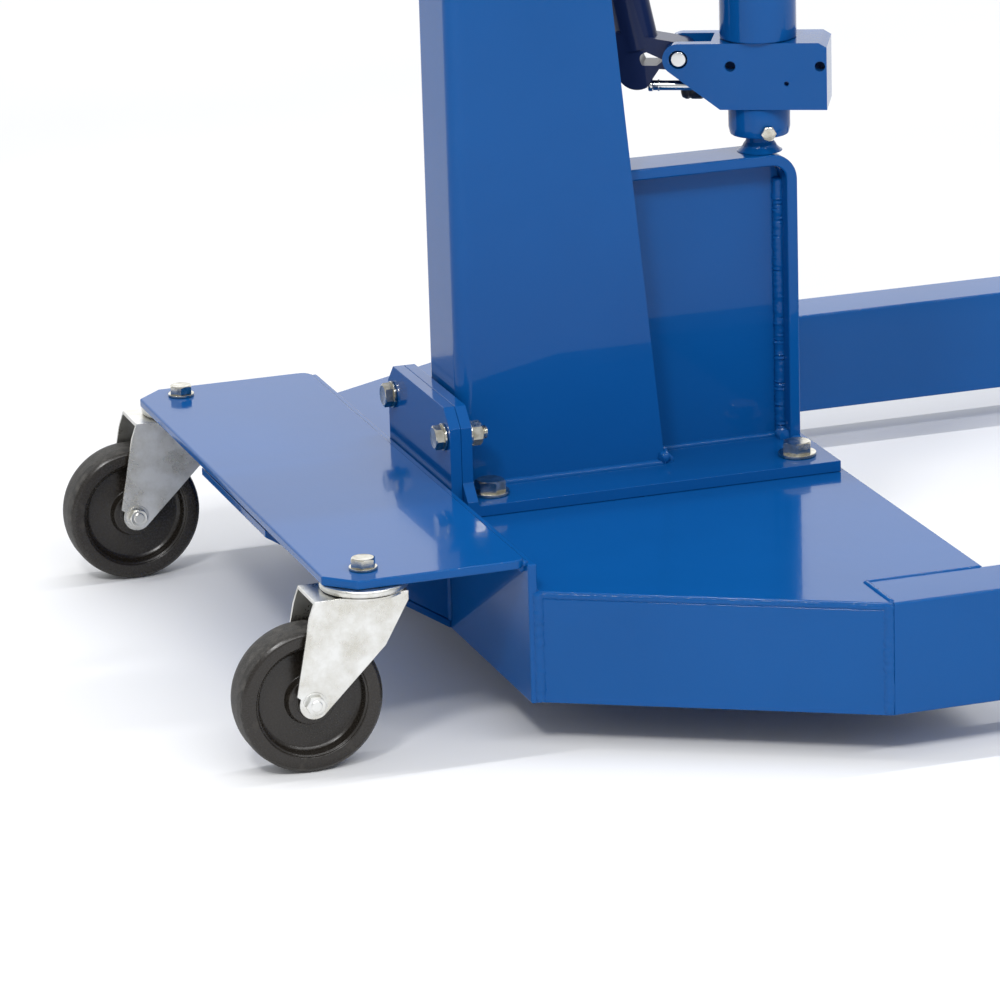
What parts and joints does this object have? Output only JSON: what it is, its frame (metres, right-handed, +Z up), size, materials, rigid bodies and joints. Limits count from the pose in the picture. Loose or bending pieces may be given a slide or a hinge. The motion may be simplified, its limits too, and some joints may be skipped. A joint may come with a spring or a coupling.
{
  "type": "mobile workshop crane",
  "caption": "Mobile hydraulic workshop crane: welded base on casters and two legs, bolted tapered column, ram on a ball post, boom with sliding extension and hook.",
  "frame": {"origin": "on the floor, below the middle of the whole crane's box", "axes": "+X forward along the legs and the boom, +Y to the left, +Z up"},
  "size_m": [1.764, 0.93, 1.489],
  "materials": {
    "blue_paint": "glossy enamel",
    "navy_paint": "semi-gloss dark paint",
    "zinc_plate": "bright zinc plating",
    "dark_steel": "machined steel",
    "chrome": "polished hard chrome",
    "wheel_tyre": "moulded nylon, scuffed tread",
    "black_plastic": "moulded black plastic",
    "forged_steel": "forged and oiled"
  },
  "bodies": {
    "frame": {"caster_plate": "blue_paint", "caster_race_right": "zinc_plate", "caster_race_left": "zinc_plate", "caster_bolt_right": "zinc_plate", "caster_bolt_left": "zinc_plate", "rear_wall": "blue_paint", "base_deck": "blue_paint", "side_wall_right": "blue_paint", "side_wall_left": "blue_paint", "front_wall": "blue_paint", "gusset_right": "blue_paint", "gusset_left": "blue_paint", "gusset_cover": "blue_paint", "leg_right": "blue_paint", "leg_left": "blue_paint", "front_axle_right": "zinc_plate", "front_axle_left": "zinc_plate", "rear_bracket": "blue_paint", "foot_plate": "blue_paint", "bracket_bolt_right": "zinc_plate", "bracket_bolt_left": "zinc_plate", "bracket_nut_right": "zinc_plate", "bracket_nut_left": "zinc_plate", "foot_bolt_rear_right": "zinc_plate", "foot_bolt_rear_left": "zinc_plate", "foot_bolt_front_right": "zinc_plate", "foot_bolt_front_left": "zinc_plate", "column": "blue_paint", "pedestal_frame": "blue_paint", "pedestal_web": "blue_paint", "ball_post": "blue_paint", "boom_pin": "zinc_plate"},
    "caster_swivel_right": {"caster_fork_right": "zinc_plate", "caster_axle_right": "zinc_plate"},
    "caster_roll_right": {"caster_wheel_right": "wheel_tyre"},
    "caster_swivel_left": {"caster_fork_left": "zinc_plate", "caster_axle_left": "zinc_plate"},
    "caster_roll_left": {"caster_wheel_left": "wheel_tyre"},
    "front_roll_right": {"front_wheel_right": "wheel_tyre"},
    "front_roll_left": {"front_wheel_left": "wheel_tyre"},
    "boom": {"boom": "blue_paint"},
    "ram_rod": {"ram_rod": "chrome", "ram_pin": "zinc_plate"},
    "pump_unit": {"pump_block": "blue_paint", "lever_pin": "chrome", "ball_cup": "blue_paint", "cup_screw": "zinc_plate", "ram_cylinder": "blue_paint", "ram_gland": "dark_steel"},
    "pump_lever": {"pump_lever": "navy_paint", "pump_handle": "zinc_plate", "handle_grip": "black_plastic"},
    "pump_piston": {"pump_piston": "chrome"},
    "release_knob": {"release_knob": "black_plastic"},
    "extension": {"boom_extension": "blue_paint", "hook_pin": "zinc_plate"},
    "extension_screw": {"extension_screw": "zinc_plate"},
    "hook_link": {"hook_link": "forged_steel"},
    "hook": {"hook": "forged_steel"},
    "hook_latch": {"hook_latch": "zinc_plate"}
  },
  "joints": [
    {"name": "caster_swivel_right", "type": "hinge", "parent": "frame", "child": "caster_swivel_right", "pos_m": [-0.76655, -0.285, 0.15], "axis": [0, 0, 1], "continuous": true},
    {"name": "caster_roll_right", "type": "hinge", "parent": "caster_swivel_right", "child": "caster_roll_right", "pos_m": [-0.81955, -0.285, 0.0625], "axis": [0, 1, 0], "continuous": true},
    {"name": "caster_swivel_left", "type": "hinge", "parent": "frame", "child": "caster_swivel_left", "pos_m": [-0.76655, 0.285, 0.15], "axis": [0, 0, 1], "continuous": true},
    {"name": "caster_roll_left", "type": "hinge", "parent": "caster_swivel_left", "child": "caster_roll_left", "pos_m": [-0.81955, 0.285, 0.0625], "axis": [0, 1, 0], "continuous": true},
    {"name": "front_roll_right", "type": "hinge", "parent": "frame", "child": "front_roll_right", "pos_m": [0.84405, -0.434, 0.038], "axis": [0, 1, 0], "continuous": true},
    {"name": "front_roll_left", "type": "hinge", "parent": "frame", "child": "front_roll_left", "pos_m": [0.84405, 0.434, 0.038], "axis": [0, 1, 0], "continuous": true},
    {"name": "boom_lift", "type": "hinge", "parent": "frame", "child": "boom", "pos_m": [-0.56955, 0, 1.4], "axis": [0, -1, 0], "range_deg": [-15, 40]},
    {"name": "ram_slide", "type": "slide", "parent": "frame", "child": "ram_rod", "axis": [0, 0, 1], "range_m": [-0.075, 0.195]},
    {"name": "pump_swivel", "type": "hinge", "parent": "frame", "child": "pump_unit", "pos_m": [-0.30105, 0, 0.434], "axis": [0, 0, 1], "range_deg": [-75, 0]},
    {"name": "lever_pump", "type": "hinge", "parent": "pump_unit", "child": "pump_lever", "pos_m": [-0.36244, 0.02994, 0.5], "axis": [-0.4384, -0.8988, 0], "range_deg": [-15, 20]},
    {"name": "piston_slide", "type": "slide", "parent": "pump_unit", "child": "pump_piston", "axis": [0.8988, -0.4384, 0], "range_m": [-0.008, 0.01]},
    {"name": "release_turn", "type": "hinge", "parent": "pump_unit", "child": "release_knob", "pos_m": [-0.35954, 0.03587, 0.468], "axis": [0.8988, -0.4384, 0], "range_deg": [0, 180]},
    {"name": "extension_slide", "type": "slide", "parent": "boom", "child": "extension", "axis": [1, 0, 0], "range_m": [0, 0.45]},
    {"name": "screw_turn", "type": "hinge", "parent": "boom", "child": "extension_screw", "pos_m": [0.23045, 0, 1.465], "axis": [0, 0, 1], "range_deg": [0, 360]},
    {"name": "link_swing", "type": "hinge", "parent": "extension", "child": "hook_link", "pos_m": [0.48245, 0, 1.376], "axis": [0, 1, 0], "range_deg": [-75, 42]},
    {"name": "hook_swivel", "type": "hinge", "parent": "hook_link", "child": "hook", "pos_m": [0.48245, 0, 1.318], "axis": [0, 0, 1], "continuous": true},
    {"name": "latch_turn", "type": "hinge", "parent": "hook", "child": "hook_latch", "pos_m": [0.49845, 0, 1.284], "axis": [0, 1, 0], "range_deg": [0, 35], "stiffness_Nm_per_rad": 0.05, "springref_deg": -11.46}
  ],
  "couplings": [
    {"joint": "ram_slide", "follows": "boom_lift", "m_per_rad": 0.271},
    {"joint": "piston_slide", "follows": "lever_pump", "m_per_rad": 0.027}
  ]
}
